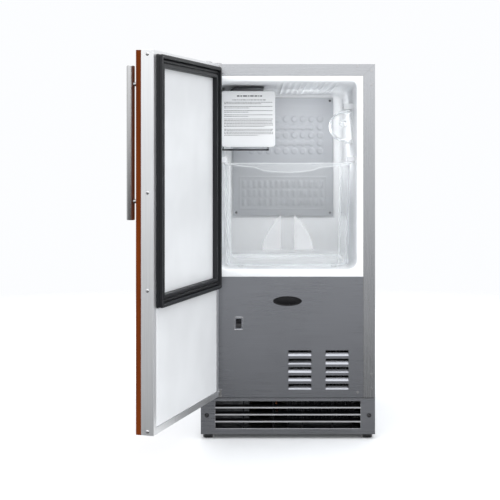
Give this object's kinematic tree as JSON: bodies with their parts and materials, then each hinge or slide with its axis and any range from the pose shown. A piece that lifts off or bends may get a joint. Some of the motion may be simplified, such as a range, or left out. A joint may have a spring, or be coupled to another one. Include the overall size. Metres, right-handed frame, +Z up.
{
  "type": "ice maker",
  "caption": "Narrow built-in automatic ice maker with a hinged panelled door, a crescent ice mould, a clear sliding ice bin and a vented machine compartment.",
  "frame": {"origin": "front centre of the base pan's underside, on the plane of the cabinet's front frame", "axes": "+X to the right seen from the front, +Y into the cabinet, +Z up"},
  "size_m": [0.5013, 0.9011, 0.8103],
  "materials": {
    "stainless": "brushed along its length",
    "galvanised": "galvanised, satin",
    "toe_kick": "satin grey paint",
    "lower_panel": "satin blue grey paint",
    "screw_steel": "zinc plated",
    "white_plastic": "smooth",
    "liner_white": "smooth, glossy",
    "foam": "rigid foam",
    "evaporator": "satin, roll bonded",
    "grey_plastic": "fine texture",
    "cast_aluminium": "cast",
    "dark_steel": "satin black",
    "black_plastic": "fine texture",
    "clear_plastic": "clear polystyrene",
    "black_enamel": "black enamel",
    "rubber": "matte",
    "copper": "drawn copper",
    "wood": "brown stained veneer",
    "gasket": "ribbed vinyl",
    "handle_steel": "brushed"
  },
  "bodies": {
    "cabinet": {"side_panel_left": "stainless", "side_panel_right": "stainless", "top_panel": "stainless", "back_panel": "galvanised", "rear_service_cover": "galvanised", "base_pan": "galvanised", "toe_kick_frame": "toe_kick", "toe_kick_blades": "toe_kick", "cabinet_screws": "screw_steel", "lower_front_panel": "lower_panel", "hole_plugs": "white_plastic", "cavity_liner": "liner_white", "cabinet_insulation": "foam", "evaporator_plate": "evaporator", "evaporator_screws": "screw_steel", "unit_housing": "white_plastic", "unit_gear_motor": "grey_plastic", "unit_bracket": "screw_steel", "ice_mould": "cast_aluminium", "mould_heater": "dark_steel", "ice_stripper": "white_plastic", "mould_hood": "grey_plastic", "fill_cup": "white_plastic", "switch_bezel": "black_plastic", "hinge_bracket_top": "screw_steel", "hinge_bracket_bottom": "screw_steel", "hinge_pins": "screw_steel", "hinge_screws": "screw_steel", "scoop_bracket": "white_plastic", "bin_clips": "white_plastic", "compressor": "black_enamel", "compressor_grommets": "rubber", "condenser": "cast_aluminium", "fan_shroud": "grey_plastic", "fan_motor": "grey_plastic", "filter_drier": "copper", "refrigerant_tubes": "copper", "water_valve": "white_plastic", "water_tube": "white_plastic", "control_box": "galvanised", "cord_gland": "black_plastic"},
    "door": {"door_frame": "stainless", "door_insulation": "foam", "door_decor_panel": "wood", "door_liner_panel": "liner_white", "door_lower_panel": "liner_white", "door_gasket": "gasket", "door_bushes": "white_plastic", "handle_bar": "handle_steel", "handle_standoffs": "handle_steel"},
    "ice_bin": {"ice_bin": "clear_plastic"},
    "ice_scoop": {"ice_scoop": "clear_plastic"},
    "ice_ejector": {"ice_ejector": "grey_plastic"},
    "shutoff_arm": {"shutoff_arm": "dark_steel"},
    "switch_rocker": {"switch_rocker": "black_plastic"},
    "fan_blade": {"fan_blade": "black_plastic"},
    "foot_front_left": {"foot_front_left": "black_plastic"},
    "foot_front_right": {"foot_front_right": "black_plastic"},
    "foot_rear_left": {"foot_rear_left": "black_plastic"},
    "foot_rear_right": {"foot_rear_right": "black_plastic"}
  },
  "joints": [
    {"name": "door_hinge", "type": "hinge", "parent": "cabinet", "child": "door", "pos_m": [-0.17, -0.03, 0.44], "axis": [0, 0, -1], "range_deg": [-107, 5]},
    {"name": "bin_slide", "type": "slide", "parent": "cabinet", "child": "ice_bin", "axis": [0, -1, 0], "range_m": [0, 0.26]},
    {"name": "scoop_slide", "type": "slide", "parent": "cabinet", "child": "ice_scoop", "axis": [0, -1, 0], "range_m": [0, 0.2]},
    {"name": "ejector_turn", "type": "hinge", "parent": "cabinet", "child": "ice_ejector", "pos_m": [-0.088, 0.23, 0.6898], "axis": [0, 1, 0], "continuous": true},
    {"name": "arm_swing", "type": "hinge", "parent": "cabinet", "child": "shutoff_arm", "pos_m": [-0.088, 0.194, 0.6218], "axis": [1, 0, 0], "range_deg": [0, 13]},
    {"name": "rocker_tilt", "type": "hinge", "parent": "cabinet", "child": "switch_rocker", "pos_m": [-0.106, 0.004, 0.2386], "axis": [-1, 0, 0], "range_deg": [0, 16]},
    {"name": "fan_spin", "type": "hinge", "parent": "cabinet", "child": "fan_blade", "pos_m": [0.07375, 0.106, 0.11], "axis": [0, 1, 0], "continuous": true},
    {"name": "foot_front_left_turn", "type": "hinge", "parent": "cabinet", "child": "foot_front_left", "pos_m": [-0.1719, 0.022, 0], "axis": [0, 0, 1], "continuous": true},
    {"name": "foot_front_right_turn", "type": "hinge", "parent": "cabinet", "child": "foot_front_right", "pos_m": [0.1719, 0.022, 0], "axis": [0, 0, 1], "continuous": true},
    {"name": "foot_rear_left_turn", "type": "hinge", "parent": "cabinet", "child": "foot_rear_left", "pos_m": [-0.1719, 0.49, 0], "axis": [0, 0, 1], "continuous": true},
    {"name": "foot_rear_right_turn", "type": "hinge", "parent": "cabinet", "child": "foot_rear_right", "pos_m": [0.1719, 0.49, 0], "axis": [0, 0, 1], "continuous": true}
  ]
}
